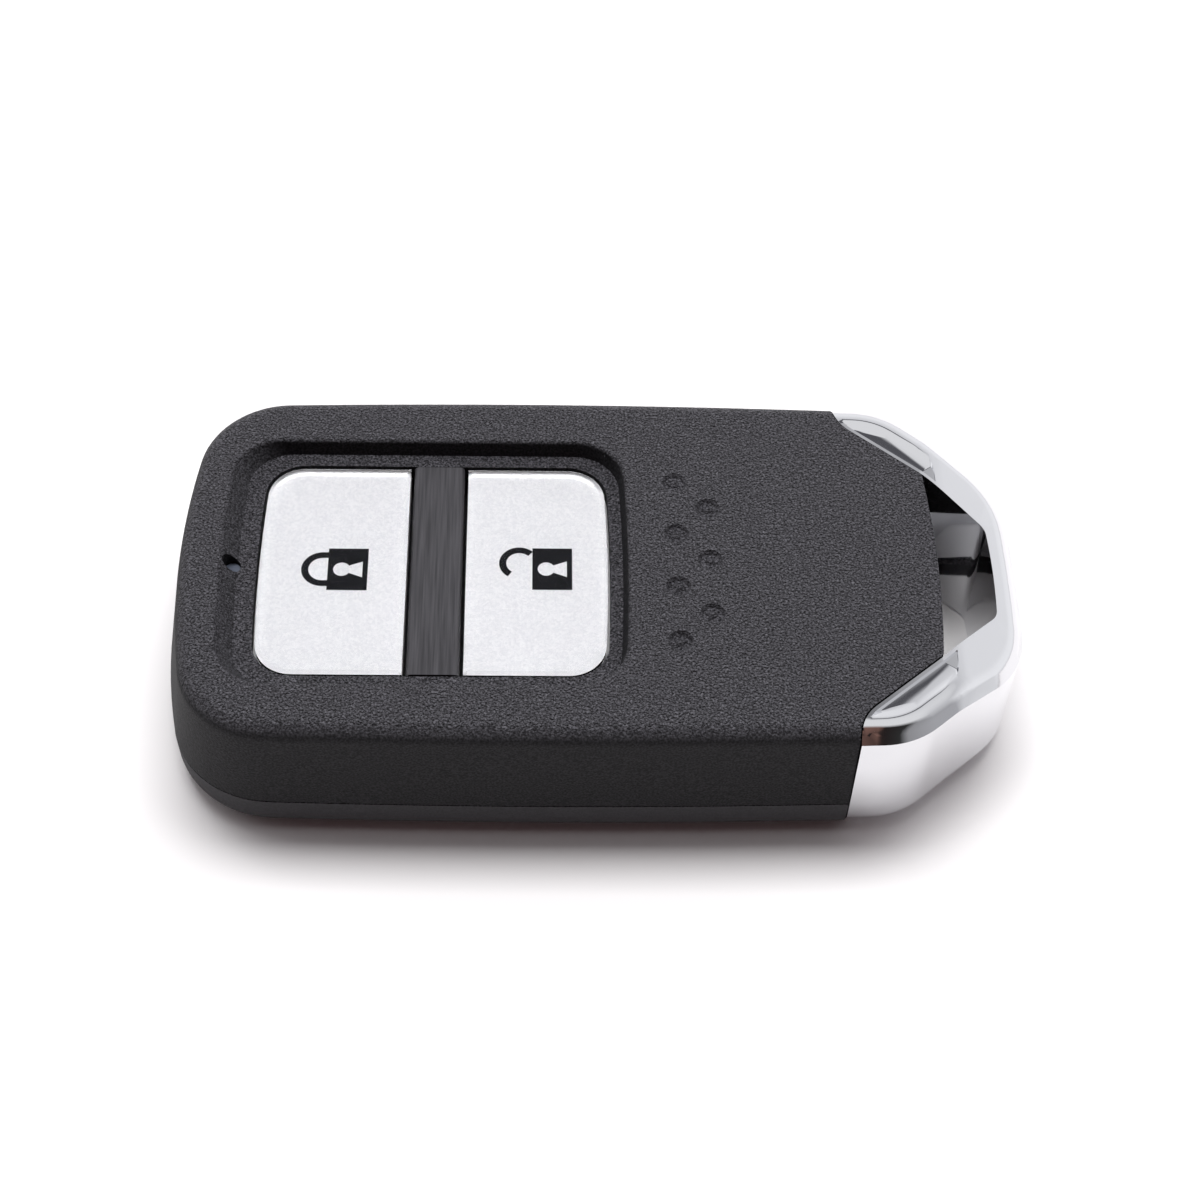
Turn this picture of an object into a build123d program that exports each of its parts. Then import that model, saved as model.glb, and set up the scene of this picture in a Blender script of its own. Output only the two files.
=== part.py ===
from build123d import *
import math
import os

# Overall case, with the loop end at +X and the buttons facing +Z
length = 78.5
width = 39.8
top_width = 39.2
height = 15.2
seam_height = 4.6
seam_gap = 0.12
bottom_draft = 0.15
bottom_round = 2.6
top_round = 1.6
left_end_lean = 1.75
left_end_bow = 3.4
left_top_bow = 2.2
side_bow = 0.6
end_corner_radius = 9.5
end_top_radius = 8.2
overrun = 2.0

# Chrome loop, in plan
head_length = 16.25
shoulder_setback = 11.4
shoulder_radius = 8.0
nose_half_width = 9.85
nose_bow = 0.35
nose_radius = 9.5
nose_wall = 2.45
opening_corner_half = 5.1
opening_far_bow = 0.2
opening_corner_radius = 1.8
opening_bend_radius = 6.0

# Chrome loop, in side view
loop_floor_lift = 0.3
loop_top_drop = 0.1
loop_fall_setback = 7.25
loop_fall_radius = 8.0
loop_slope_share = 0.3
ridge_face_share = 0.9
loop_bevel = 1.15
loop_ridge_radius = 2.0

# Sunk land on top of each arm of the loop
land_depth = 0.3
land_rim = 0.32
land_margin = 2.3
land_start_gap = 0.25
land_end_setback = 6.95
land_end_radius = 0.6
land_slope_width = 0.6

# Tongue of the case, between the arms of the loop
tongue_length = 8.0
tongue_root_margin = 2.75
tongue_tip_half = 10.45
tongue_end_bow = 0.5
tongue_root_radius = 4.0
tongue_tip_radius = 0.6
tongue_side_gap = 0.16
head_gap = 0.12

# Crossbar and stem of the emergency key
crossbar_setback = 2.5
crossbar_end_gap = 0.1
crossbar_bottom = 1.9
crossbar_top = 9.4
stem_reach = 6.0
stem_half = 6.2
stem_top = 4.9
key_clearance = 0.15
blade_width = 8.6
blade_thickness = 2.2
blade_bottom = 2.3
blade_tip_gap = 1.8
blade_tip_chamfer = 2.2
blade_root_cover = 1.3
blade_groove_width = 2.6
blade_groove_depth = 0.6
blade_groove_step = 4.4
blade_groove_swing = 1.0
blade_groove_bend = 1.3
blade_pin_radius = 0.8
blade_pin_spacing = 4.4
notch_setback = 1.9
notch_length = 2.0
notch_depth = 1.1

# Case walls
wall = 1.6
floor_thickness = 1.5
cored_margin = 2.2
cored_half_width = 15.4
cavity_end_margin = 1.6
end_wall_gap = 0.15
lip_thickness = 0.65
lip_height = 0.9
lip_gap = 0.06

# Recess round the buttons
recess_depth = 1.55
recess_left_margin = 5.35
recess_right_margin = 1.6
recess_half = 14.0
recess_radius = 4.6
recess_end_bow = 0.5
recess_slope_left = 1.5
recess_slope = 0.45
recess_rim_round = 0.45

# Button window
window_left_margin = 3.2
window_right_setback = 21.4
window_half = 12.15
window_radius = 3.7
window_bow = 0.4
button_gap = 0.25
bar_offset = 2.15
bar_width = 4.72
bar_gap = 0.35

# Finger dimples
dimple_column_gap = 4.45
dimple_column_step = 3.0
dimple_pitch = 6.1
dimple_radius = 1.15
dimple_depth = 0.28
dimple_slope = 0.3
dimple_dome_radius = 0.45
dimple_dome_height = 0.2

# Buttons
cap_drop = 1.4
lens_thickness = 0.9
lens_edge_round = 0.3
flange_gap = 0.1
flange_thickness = 0.7
flange_reach = 0.7
button_skirt = 1.3
button_web = 0.95
button_pad_radius = 2.6
button_travel = 0.5

# Centre bar
bar_drop = 1.45
bar_tab_thickness = 0.85
bar_tab_reach = 1.9
bar_crown_radius = 0.5

# Rubber keypad
mat_left_margin = 0.6
mat_right_margin = 1.0
mat_half = 13.4
mat_corner_radius = 3.4
mat_wall = 1.0
mat_roof_drop = 0.95
mat_roof_thickness = 0.6
mat_hole_radius = 3.5
dome_radius = 3.2
dome_seat = 0.2
dome_rise = 1.0
dome_top_radius = 2.4
nub_radius = 1.4
nub_gap = 0.3

# Circuit board and what holds it
board_drop = 3.3
board_thickness = 1.0
board_end_gap = 0.8
board_gap = 0.35
post_radius = 1.2
post_pin_radius = 0.6
post_hole_radius = 0.7
post_pin_length = 0.8
post_left_margin = 7.25
post_right_margin = 3.8
post_half = 13.3
tray_thickness = 0.6
tray_drop = 1.1
tray_inset = 0.2
tray_ledge = 1.2
collar_wall = 0.8
collar_bottom = 2.6

# Coin cell and its contacts
cell_radius = 10.0
cell_thickness = 3.2
cell_rim_height = 0.7
cell_rim_step = 0.9
cell_bottom = 1.8
cell_margin = 17.05
cell_gap = 0.15
contact_thickness = 0.2
positive_width = 4.0
positive_reach = 1.8
positive_bottom = 2.4
positive_slot_gap = 0.3
negative_width = 3.6
negative_pad = 3.0
negative_length = 8.0

# Switches
switch_size = 4.6
switch_height = 1.5
switch_edge = 0.3
plunger_radius = 1.1
plunger_fit = 0.05
plunger_reach = 1.9
plunger_length = 1.2
plunger_well = 1.7

# Electronics on the board
radio_chip_size = 7.0
radio_chip_height = 0.9
radio_chip_margin = 5.6
radio_chip_y = -6.4
control_chip_size = 5.6
control_chip_height = 0.8
control_chip_margin = 13.0
control_chip_y = -8.2
crystal_length = 3.6
crystal_width = 2.4
crystal_height = 0.9
crystal_margin = 9.6
crystal_y = -13.3
coil_size = 10.6
coil_height = 3.0
coil_core_radius = 3.2
coil_flange = 0.5
coil_corner_radius = 1.6
coil_margin = 7.4
coil_y = 5.4
winding_radius = 4.4
capacitor_length = 1.6
capacitor_width = 0.8
capacitor_height = 0.7
capacitor_margin = 14.2
capacitor_y = 1.2
capacitor_step = 2.3
capacitor_count = 5
inductor_size = 3.0
inductor_height = 1.6
inductor_margin = 5.95
inductor_y = -6.4

# Indicator
indicator_margin = 1.0
indicator_hole_radius = 0.8
indicator_lens_radius = 0.74
indicator_sink = 0.45
indicator_flange_radius = 1.25
indicator_flange_height = 0.5
indicator_led_size = 1.6
indicator_led_height = 0.7
indicator_lens_gap = 0.2

# Release knob on the back
knob_window_setback = 3.9
knob_window_length = 5.2
knob_window_half = 4.1
knob_travel = 1.8
knob_pad_gap = 0.12
knob_pad_recess = 0.25
knob_shelf_bottom = 1.25
knob_shelf_top = 1.7
knob_shelf_margin = 0.9
knob_pocket_floor = 1.15
knob_pocket_margin = 0.25
knob_arm_start = 7.4
knob_arm_thickness = 1.6
knob_arm_top = 4.4
knob_tooth_gap = 0.12
knob_rib_count = 3
knob_rib_height = 0.3
knob_rib_width = 0.5
knob_rib_step = 1.5

# Release spring
spring_radius = 1.05
spring_wire = 0.28
spring_turns = 7
spring_z = 3.1
spring_end_y = 14.2
spring_rib_thickness = 0.9
spring_peg_radius = 0.6
spring_peg_length = 1.2

# Channel ribs for the blade
channel_gap = 0.25
channel_rib = 0.8
channel_tip_gap = 1.0
channel_knob_gap = 1.6

# Places worked out from the sizes above
half_length = length / 2
left_x = -half_length
tip_x = half_length
seam_x = tip_x - head_length
tongue_tip_x = seam_x + tongue_length
tongue_root_half = width / 2 - tongue_root_margin
far_corner_x = tip_x - nose_wall - opening_far_bow
loop_fall_x = tip_x - loop_fall_setback
land_end_x = tip_x - land_end_setback
crossbar_start = seam_x + crossbar_setback
crossbar_end = tongue_tip_x - crossbar_end_gap
stem_start = seam_x - stem_reach
notch_start = stem_start + notch_setback
cavity_end_x = seam_x - cavity_end_margin
end_wall_x = crossbar_start - end_wall_gap
recess_left = left_x + recess_left_margin
window_left = recess_left + window_left_margin
window_right = seam_x - window_right_setback
recess_right = window_right + recess_right_margin
cored_start = recess_right + cored_margin
dimple_column_x = recess_right + dimple_column_gap
bar_left = (window_left + window_right) / 2 - bar_offset
bar_right = bar_left + bar_width
lock_left = window_left + button_gap
lock_right = bar_left - bar_gap
unlock_left = bar_right + bar_gap
unlock_right = window_right - button_gap
lock_centre = (window_left + bar_left) / 2
unlock_centre = (bar_right + window_right) / 2
mat_left = window_left - mat_left_margin
mat_right = window_right + mat_right_margin
board_right = cavity_end_x - board_end_gap
post_left_x = left_x + post_left_margin
post_right_x = cavity_end_x - post_right_margin
cell_x = left_x + cell_margin
blade_tip_x = cell_x + cell_radius + blade_tip_gap
blade_root_x = crossbar_end - blade_root_cover
radio_chip_x = board_right - radio_chip_margin
control_chip_x = board_right - control_chip_margin
crystal_x = board_right - crystal_margin
coil_x = board_right - coil_margin
capacitor_x = board_right - capacitor_margin
inductor_x = left_x + inductor_margin
indicator_x = recess_left + indicator_margin
knob_window_x = notch_start - knob_window_setback
channel_start = blade_tip_x + channel_tip_gap
channel_end = knob_window_x - channel_knob_gap
spring_x = notch_start + notch_length / 2
recess_floor = height - recess_depth
ceiling_height = recess_floor - wall
cored_ceiling_height = height - wall
cap_top = height - cap_drop
lens_bottom = cap_top - lens_thickness
flange_top = ceiling_height - flange_gap
flange_bottom = flange_top - flange_thickness
bar_top = height - bar_drop
bar_bottom = ceiling_height - bar_tab_thickness
mat_roof_top = flange_bottom - mat_roof_drop
mat_roof_bottom = mat_roof_top - mat_roof_thickness
dome_bottom = mat_roof_bottom + dome_seat
dome_shoulder = dome_bottom + dome_rise
board_bottom = mat_roof_bottom - board_drop
board_top = board_bottom + board_thickness
tray_bottom = board_bottom - tray_drop
plunger_top = board_top + plunger_reach
nub_bottom = plunger_top + nub_gap
indicator_lens_top = recess_floor - indicator_sink
cell_top = cell_bottom + cell_thickness
wide = width


def bowed_face(corners, bows, radii, z):
    """Face whose sides bow outwards and whose corners are round. Corners run anticlockwise."""
    count = len(corners)
    edges = []
    for index in range(count):
        start = Vector(*corners[index], z)
        end = Vector(*corners[(index + 1) % count], z)
        if bows[index] == 0:
            edges.append(Edge.make_line(start, end))
            continue
        run = end - start
        outward = Vector(run.Y, -run.X, 0).normalized()
        middle = (start + end) * 0.5 + outward * bows[index]
        edges.append(Edge.make_three_point_arc(start, middle, end))
    face = Face(Wire(edges))
    for corner, radius in zip(corners, radii):
        if radius > 0:
            spot = Vector(*corner, z)
            nearest = min(face.vertices(), key=lambda vertex: (Vector(*vertex) - spot).length)
            face = face.fillet_2d(radius, [nearest])
    return face


def raised(face, rise):
    """Solid that stands on a level face."""
    return extrude(face, amount=rise, dir=(0, 0, 1))


def block(x_range, y_range, z_range):
    """Box between two x, two y and two z values."""
    size = [span[1] - span[0] for span in (x_range, y_range, z_range)]
    corner = Pos(x_range[0], y_range[0], z_range[0])
    return corner * Box(*size, align=(Align.MIN, Align.MIN, Align.MIN))


def rod(x, y, z_range, radius):
    """Upright round bar."""
    foot = Align.CENTER, Align.CENTER, Align.MIN
    return Pos(x, y, z_range[0]) * Cylinder(radius, z_range[1] - z_range[0], align=foot)


def bowed_panel(x_range, half, end_bow, radius, z):
    """Face with straight long sides and bowed ends."""
    left, right = x_range
    corners = [(left, -half), (right, -half), (right, half), (left, half)]
    return bowed_face(corners, [0, end_bow, 0, end_bow], [radius] * len(corners), z)


def diagonal_x(half):
    """Where the straight flank of the loop reaches a given half width."""
    nose_x = tip_x - nose_bow
    flank_top = width / 2 - side_bow
    run_share = (nose_x - (tip_x - shoulder_setback)) / (flank_top - nose_half_width)
    return nose_x - (half - nose_half_width) * run_share


def case_outline(half_width, left_inset, z, end_bow=left_end_bow, end_radius=end_corner_radius):
    """Plan of the whole fob at one height."""
    half = half_width - side_bow
    left = left_x + left_inset + end_bow
    nose_x = tip_x - nose_bow
    shoulder = diagonal_x(half)
    corners = [(left, -half), (shoulder, -half), (nose_x, -nose_half_width)]
    corners += [(x, -y) for x, y in reversed(corners)]
    bows = [side_bow, 0, nose_bow, 0, side_bow, end_bow]
    radii = [end_radius, shoulder_radius, nose_radius]
    return bowed_face(corners, bows, radii + radii[::-1], z)


def upper_envelope():
    """Outer form above the seam, leaning in towards the top face."""
    low = case_outline(width / 2, 0, seam_height)
    high = case_outline(top_width / 2, left_end_lean, height, left_top_bow, end_top_radius)
    return loft([low, high], ruled=True)


def lower_envelope(base=0):
    """Outer form below the seam, with its rounded bottom edge."""
    low = case_outline(width / 2 - bottom_draft, bottom_draft, base)
    high = case_outline(width / 2, 0, seam_height)
    body = loft([low, high], ruled=True)
    return fillet(body.faces().sort_by(Axis.Z)[0].edges(), bottom_round)


def tongue_half(x):
    """Half width of the tongue on its slanted flank."""
    share = (x - seam_x) / tongue_length
    return tongue_root_half + (tongue_tip_half - tongue_root_half) * share


def case_region():
    """Tall block over the plan of the black case: everything left of the loop, and the tongue."""
    corners = [
        (left_x - overrun, -wide),
        (seam_x, -wide),
        (seam_x, -tongue_root_half),
        (tongue_tip_x, -tongue_tip_half),
    ]
    corners += [(x, -y) for x, y in reversed(corners)]
    bows = [0, 0, 0, tongue_end_bow, 0, 0, 0, 0]
    radii = [0, 0, tongue_root_radius, tongue_tip_radius]
    face = bowed_face(corners, bows, radii + radii[::-1], -overrun)
    return raised(face, height + 2 * overrun)


def loop_inside():
    """Tall block over the space inside the loop: the tongue with its gap, and the key ring opening."""
    root_x = seam_x + head_gap
    corners = [
        (left_x - overrun, -wide),
        (root_x, -wide),
        (root_x, -tongue_half(root_x) - tongue_side_gap),
        (tongue_tip_x, -tongue_tip_half - tongue_side_gap),
        (far_corner_x, -opening_corner_half),
    ]
    corners += [(x, -y) for x, y in reversed(corners)]
    bows = [0, 0, 0, 0, opening_far_bow, 0, 0, 0, 0, 0]
    radii = [0, 0, tongue_root_radius, opening_bend_radius, opening_corner_radius]
    face = bowed_face(corners, bows, radii + radii[::-1], -overrun)
    return raised(face, height + 2 * overrun)


def cavity_face(inset, z, left_extra=0):
    """Plan of the hollow inside the case, at a given distance from its outer wall."""
    half = width / 2 - side_bow - inset
    left = left_x + left_end_bow + inset + left_extra
    corners = [(left, -half), (cavity_end_x, -half), (cavity_end_x, half), (left, half)]
    corner = end_corner_radius - inset
    radii = [corner, wall, wall, corner]
    return bowed_face(corners, [side_bow, 0, side_bow, left_end_bow], radii, z)


def upper_cavity_face(gap, z):
    """Plan of the upper hollow, whose left wall stands back to follow the lean of the end."""
    lean = left_end_lean * (ceiling_height - seam_height) / (height - seam_height)
    return cavity_face(wall + gap, z, lean)


def recess_tool():
    """Shallow basin round the buttons, with a gentle slope at its left end."""
    rim_x = recess_left + recess_end_bow, recess_right - recess_end_bow
    rim = bowed_panel(rim_x, recess_half, recess_end_bow, recess_radius, height)
    base_x = rim_x[0] + recess_slope_left, rim_x[1] - recess_slope
    base_radius = recess_radius - recess_slope
    base = bowed_panel(base_x, recess_half - recess_slope, recess_end_bow, base_radius, recess_floor)
    return loft([base, rim], ruled=True)


def window_face(inset, z, x_range=(window_left, window_right)):
    """Plan of the button window, drawn in by an inset."""
    left = x_range[0] + inset + window_bow
    right = x_range[1] - inset - window_bow
    return bowed_panel((left, right), window_half - inset, window_bow, window_radius - inset, z)


def dimple_tool():
    """Round dent with a sloped wall and a small dome left standing in its middle."""
    foot = height - dimple_depth
    rise = Align.CENTER, Align.CENTER, Align.MIN
    wall_cone = Cone(dimple_radius - dimple_slope, dimple_radius, dimple_depth, align=rise)
    dent = Pos(0, 0, foot) * wall_cone
    dent += rod(0, 0, (height, height + dimple_depth), dimple_radius)
    ball_radius = (dimple_dome_radius ** 2 + dimple_dome_height ** 2) / (2 * dimple_dome_height)
    return dent - Pos(0, 0, foot + dimple_dome_height - ball_radius) * Sphere(ball_radius)


def dimples():
    """Seven dents in two staggered columns."""
    tool = dimple_tool()
    inner = [Pos(dimple_column_x, dimple_pitch * row, 0) * tool for row in (-1.5, -0.5, 0.5, 1.5)]
    outer_x = dimple_column_x + dimple_column_step
    outer = [Pos(outer_x, dimple_pitch * row, 0) * tool for row in (-1, 0, 1)]
    return inner + outer


def make_upper_case():
    """Grained black upper half, with the recess, the window, the dimples and the tongue."""
    shell = upper_envelope()
    shell = fillet(shell.faces().sort_by(Axis.Z)[-1].edges(), top_round)
    shell -= recess_tool()
    rim = shell.edges().filter_by(lambda edge: abs(edge.center().Z - height) < seam_gap)
    rim = rim.filter_by(lambda edge: abs(edge.center().Y) < recess_half + seam_gap)
    rim = rim.filter_by(lambda edge: recess_left - seam_gap < edge.center().X < recess_right + seam_gap)
    shell = fillet(rim, recess_rim_round)
    shell = shell & case_region()
    shell -= raised(window_face(0, seam_height), height)
    for dent in dimples():
        shell -= dent
    shell -= block((left_x - overrun, tip_x), (-wide, wide), (0, seam_height + seam_gap / 2))
    shell -= raised(upper_cavity_face(0, seam_height), ceiling_height - seam_height)
    shell -= raised(cavity_face(wall - lip_thickness - lip_gap, seam_height), lip_height + lip_gap)
    cored_y = -cored_half_width, cored_half_width
    shell -= block((cored_start, cavity_end_x - wall), cored_y, (seam_height, cored_ceiling_height))
    under = crossbar_top + key_clearance
    shell -= block((end_wall_x, tip_x), (-wide, wide), (0, under))
    stem_y = -stem_half - key_clearance, stem_half + key_clearance
    shell -= block((cavity_end_x - overrun, tip_x), stem_y, (0, stem_top + key_clearance))
    shell -= rod(indicator_x, 0, (seam_height, height), indicator_hole_radius)
    for x in (post_left_x, post_right_x):
        for y in (-post_half, post_half):
            post_top = ceiling_height if x < cored_start else cored_ceiling_height
            shell += rod(x, y, (board_top, post_top + wall / 2), post_radius)
            shell += rod(x, y, (board_top - post_pin_length, board_top + wall / 2), post_pin_radius)
    return shell


def make_lower_case():
    """Back half: floor, wall, lip, blade channel, knob pocket and lower tongue."""
    shell = lower_envelope() & case_region()
    shell -= block((left_x - overrun, tip_x), (-wide, wide), (seam_height - seam_gap / 2, height))
    cavity = raised(cavity_face(wall, floor_thickness), seam_height)
    shell -= cavity
    lip = raised(cavity_face(wall - lip_thickness, floor_thickness), seam_height + lip_height - floor_thickness)
    shell += lip - raised(cavity_face(wall, 0), height)
    clear = crossbar_bottom - key_clearance
    shell -= block((end_wall_x, tip_x), (-wide, wide), (clear, height))
    stem_y = -stem_half - key_clearance, stem_half + key_clearance
    shell -= block((cavity_end_x - overrun, tip_x), stem_y, (clear, height))
    channel_half = blade_width / 2 + channel_gap
    for side in (-1, 1):
        edges_y = sorted((side * channel_half, side * (channel_half + channel_rib)))
        shell += block((channel_start, channel_end), edges_y, (floor_thickness, tray_bottom - cell_gap))
    shell -= knob_pocket()
    shell += spring_rib()
    return shell


def knob_pocket():
    """Window in the floor for the release knob, and the shallow pocket its shelf slides in."""
    x_range = knob_window_x, knob_window_x + knob_window_length
    window = block(x_range, (-knob_window_half, knob_window_half + knob_travel), (-overrun, floor_thickness))
    margin = knob_shelf_margin + knob_pocket_margin
    shelf_x = x_range[0] - margin, x_range[1] + margin
    shelf_y = -knob_shelf_start() - knob_pocket_margin, knob_arm_end() + knob_travel + knob_pocket_margin
    pocket = block(shelf_x, shelf_y, (knob_pocket_floor, floor_thickness + overrun))
    return window + pocket


def knob_shelf_start():
    """How far the shelf of the knob reaches towards -Y."""
    return knob_window_half + knob_travel + knob_shelf_margin / 2


def knob_arm_end():
    """Outer face of the knob's arm, where the spring bears."""
    return knob_arm_start + knob_arm_thickness


def spring_rib():
    """Upright rib with a peg that holds the fixed end of the release spring."""
    rib_x = spring_x - spring_radius - spring_wire, cavity_end_x
    rib = block(rib_x, (spring_end_y, spring_end_y + spring_rib_thickness), (0, seam_height))
    peg = Pos(spring_x, spring_end_y, spring_z) * Rot(90, 0, 0)
    foot = Align.CENTER, Align.CENTER, Align.MIN
    return rib + peg * Cylinder(spring_peg_radius, spring_peg_length, align=foot)


def make_release_knob():
    """Sliding knob: ribbed thumb pad, shelf behind the window, and an arm with the latch tooth."""
    window_x = knob_window_x, knob_window_x + knob_window_length
    pad_x = window_x[0] + knob_pad_gap, window_x[1] - knob_pad_gap
    pad_y = -knob_window_half + knob_pad_gap, knob_window_half - knob_pad_gap
    knob = block(pad_x, pad_y, (knob_pad_recess + knob_rib_height, knob_shelf_bottom))
    middle_y = (pad_y[0] + pad_y[1]) / 2
    for index in range(knob_rib_count):
        y = middle_y + (index - (knob_rib_count - 1) / 2) * knob_rib_step
        rib_y = y - knob_rib_width / 2, y + knob_rib_width / 2
        knob += block(pad_x, rib_y, (knob_pad_recess, knob_pad_recess + knob_rib_height))
    shelf_x = window_x[0] - knob_shelf_margin, window_x[1] + knob_shelf_margin
    knob += block(shelf_x, (-knob_shelf_start(), knob_arm_end()), (knob_shelf_bottom, knob_shelf_top))
    arm_x = notch_start + knob_tooth_gap, notch_start + notch_length - knob_tooth_gap
    tooth_y = stem_half + knob_tooth_gap
    knob += block(arm_x, (knob_arm_start, knob_arm_end()), (knob_shelf_bottom, knob_arm_top))
    knob += block(arm_x, (tooth_y, knob_arm_start), (crossbar_bottom, knob_arm_top))
    peg = Pos(spring_x, knob_arm_end(), spring_z) * Rot(-90, 0, 0)
    foot = Align.CENTER, Align.CENTER, Align.MIN
    return knob + peg * Cylinder(spring_peg_radius, spring_peg_length, align=foot)


def make_release_spring():
    """Compression spring between the knob's arm and the rib of the back case."""
    free_length = spring_end_y - knob_arm_end() - spring_wire
    pitch = free_length / spring_turns
    path = Helix(pitch, free_length, spring_radius)
    start = path @ 0
    section = Plane(origin=start, z_dir=path % 0) * Circle(spring_wire / 2)
    coil = sweep(section, path=path)
    return Pos(spring_x, knob_arm_end() + spring_wire / 2, spring_z) * Rot(-90, 0, 0) * coil


def loop_above():
    """Everything above the loop's top face, which is level over the arms and falls towards the nose."""
    top = height - loop_top_drop
    end = tip_x + overrun
    low = top - (end - loop_fall_x) * loop_slope_share
    ceiling = height + 2 * overrun
    corners = [(0, top), (loop_fall_x, top), (end, low), (end, ceiling), (0, ceiling)]
    face = bowed_face(corners, [0] * len(corners), [0, loop_fall_radius, 0, 0, 0], 0)
    return Pos(0, wide, 0) * extrude(Plane.XZ * face, amount=2 * wide)


def along_rim(edge):
    """True for an edge that runs along the outline, not straight across the fob."""
    across = edge.geom_type == GeomType.LINE and abs(edge.center().Y) < seam_gap
    return edge.center().X > seam_gap and not across


def loop_outer():
    """Outer form of the loop above the seam, with its bevel and rounded ridge."""
    body = raised(case_outline(width / 2, 0, seam_height), height)
    body -= loop_above()
    body &= block((0, tip_x + overrun), (-wide, wide), (seam_height, height + overrun))
    top = height - loop_top_drop
    low = top - (tip_x - loop_fall_x) * loop_slope_share - seam_gap
    rim = body.edges().filter_by(lambda edge: edge.center().Z > low and along_rim(edge))
    body = chamfer(rim, loop_bevel)
    ridge = []
    for face in body.faces().filter_by(lambda face: face.normal_at(face.center()).Z > ridge_face_share):
        ridge += face.edges().filter_by(along_rim)
    return fillet(ridge, loop_ridge_radius)


def loop_land():
    """Shallow lands sunk in the top of both arms, with a slope up to the ridge."""
    top = height - loop_top_drop
    floor = top - land_depth
    sides = []
    for step in (-1, 1):
        outline = case_outline(width / 2, 0, top + step * land_depth)
        sides.append(offset(outline, amount=step * land_slope_width - land_margin))
    land = loft(sides, ruled=True)
    inside = loop_inside().faces().sort_by(Axis.Z)[0]
    land -= raised(Pos(0, 0, floor + overrun) * offset(inside, amount=land_rim), height)
    land &= block((seam_x + land_start_gap, land_end_x), (-wide, wide), (0, height + overrun))
    ends = land.edges().filter_by(lambda edge: edge.center().X > land_end_x - land_start_gap)
    ends = ends.filter_by(lambda edge: edge.bounding_box().size.Z > land_depth)
    ends = ends.sort_by(lambda edge: abs(edge.center().Y))
    return fillet(ends[-2:], land_end_radius)


def make_key_loop():
    """Chrome loop in one casting: arms, nose, crossbar and the stem that holds the blade."""
    loop = loop_outer() - loop_land()
    loop += lower_envelope(loop_floor_lift)
    loop -= loop_inside()
    loop -= block((left_x - overrun, seam_x), (-wide, wide), (-overrun, height + overrun))
    bar_half = tongue_half(crossbar_start) + tongue_side_gap
    bar = block((crossbar_start, crossbar_end), (-bar_half, bar_half), (crossbar_bottom, crossbar_top))
    loop += bar & envelope_core()
    stem = block((stem_start, crossbar_start), (-stem_half, stem_half), (crossbar_bottom, stem_top))
    loop += stem
    blade_y = -blade_width / 2, blade_width / 2
    slot_z = blade_bottom, blade_bottom + blade_thickness
    loop -= block((stem_start - overrun, blade_root_x), blade_y, slot_z)
    for side in (-1, 1):
        notch_y = sorted((side * (stem_half - notch_depth), side * (stem_half + overrun)))
        loop -= block((notch_start, notch_start + notch_length), notch_y, (0, stem_top + overrun))
    for x in pin_places():
        loop -= rod(x, 0, (0, stem_top + overrun), blade_pin_radius)
    return loop


def envelope_core():
    """Middle of the outer form, which keeps the crossbar inside the flanks."""
    plan = case_outline(width / 2 - loop_bevel, 0, crossbar_bottom)
    return raised(plan, height)


def pin_places():
    """Where the pins of the blade stand along the stem."""
    middle = (stem_start + crossbar_start) / 2 + blade_pin_spacing / 4
    return middle - blade_pin_spacing / 2, middle + blade_pin_spacing / 2


def groove_tool():
    """Wavy milled track along one face of the blade."""
    start = blade_tip_x - overrun
    end = stem_start - blade_groove_step
    count = int((end - start) / blade_groove_step)
    swing = [0, 1, 1, -1, -1, 1, 1, 0, 0, -1, -1]
    points = [(start + index * blade_groove_step, swing[index % len(swing)] * blade_groove_swing) for index in range(count)]
    kept = [points[0]]
    for before, point, after in zip(points, points[1:], points[2:]):
        if before[1] != point[1] or point[1] != after[1]:
            kept.append(point)
    kept.append(points[-1])
    bends = len(kept) > 2
    path = FilletPolyline(*kept, radius=blade_groove_bend) if bends else Polyline(*kept)
    track = trace(path, blade_groove_width)
    return extrude(track, amount=blade_groove_depth)


def make_key_blade():
    """Steel emergency blade with a pointed tip and a track milled in both faces."""
    half = blade_width / 2
    tip = blade_tip_chamfer
    outline = [
        (blade_tip_x, -half + tip),
        (blade_tip_x + tip, -half),
        (blade_root_x, -half),
        (blade_root_x, half),
        (blade_tip_x + tip, half),
        (blade_tip_x, half - tip),
    ]
    face = Pos(0, 0, blade_bottom) * make_face(Polyline(*outline, close=True))
    blade = extrude(face, amount=blade_thickness)
    track = groove_tool()
    blade -= Pos(0, 0, blade_bottom + blade_thickness - blade_groove_depth) * track
    blade -= Pos(0, 0, blade_bottom) * track
    for x in pin_places():
        blade -= rod(x, 0, (0, stem_top), blade_pin_radius)
    return blade


def make_blade_pins():
    """Two steel pins that hold the blade in the stem."""
    pins = [rod(x, 0, (crossbar_bottom, stem_top), blade_pin_radius) for x in pin_places()]
    return Compound(children=pins)


def button_x(side):
    """Left and right edge of one button."""
    return (lock_left, lock_right) if side == "lock" else (unlock_left, unlock_right)


def button_plan(side, grow, z):
    """Plan of one button: round at its outer corners, square beside the centre bar."""
    whole = window_face(button_gap - grow, z)
    left, right = button_x(side)
    reach = length
    keep_x = (left - reach, right) if side == "lock" else (left, right + reach)
    slab = block(keep_x, (-wide, wide), (z - overrun, z + overrun))
    return (raised(whole, overrun) & slab).faces().sort_by(Axis.Z)[0]


def make_button_lens(side):
    """Clear cap that the finger presses."""
    lens = raised(button_plan(side, 0, lens_bottom), lens_thickness)
    return chamfer(lens.faces().sort_by(Axis.Z)[-1].edges(), lens_edge_round)


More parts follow.
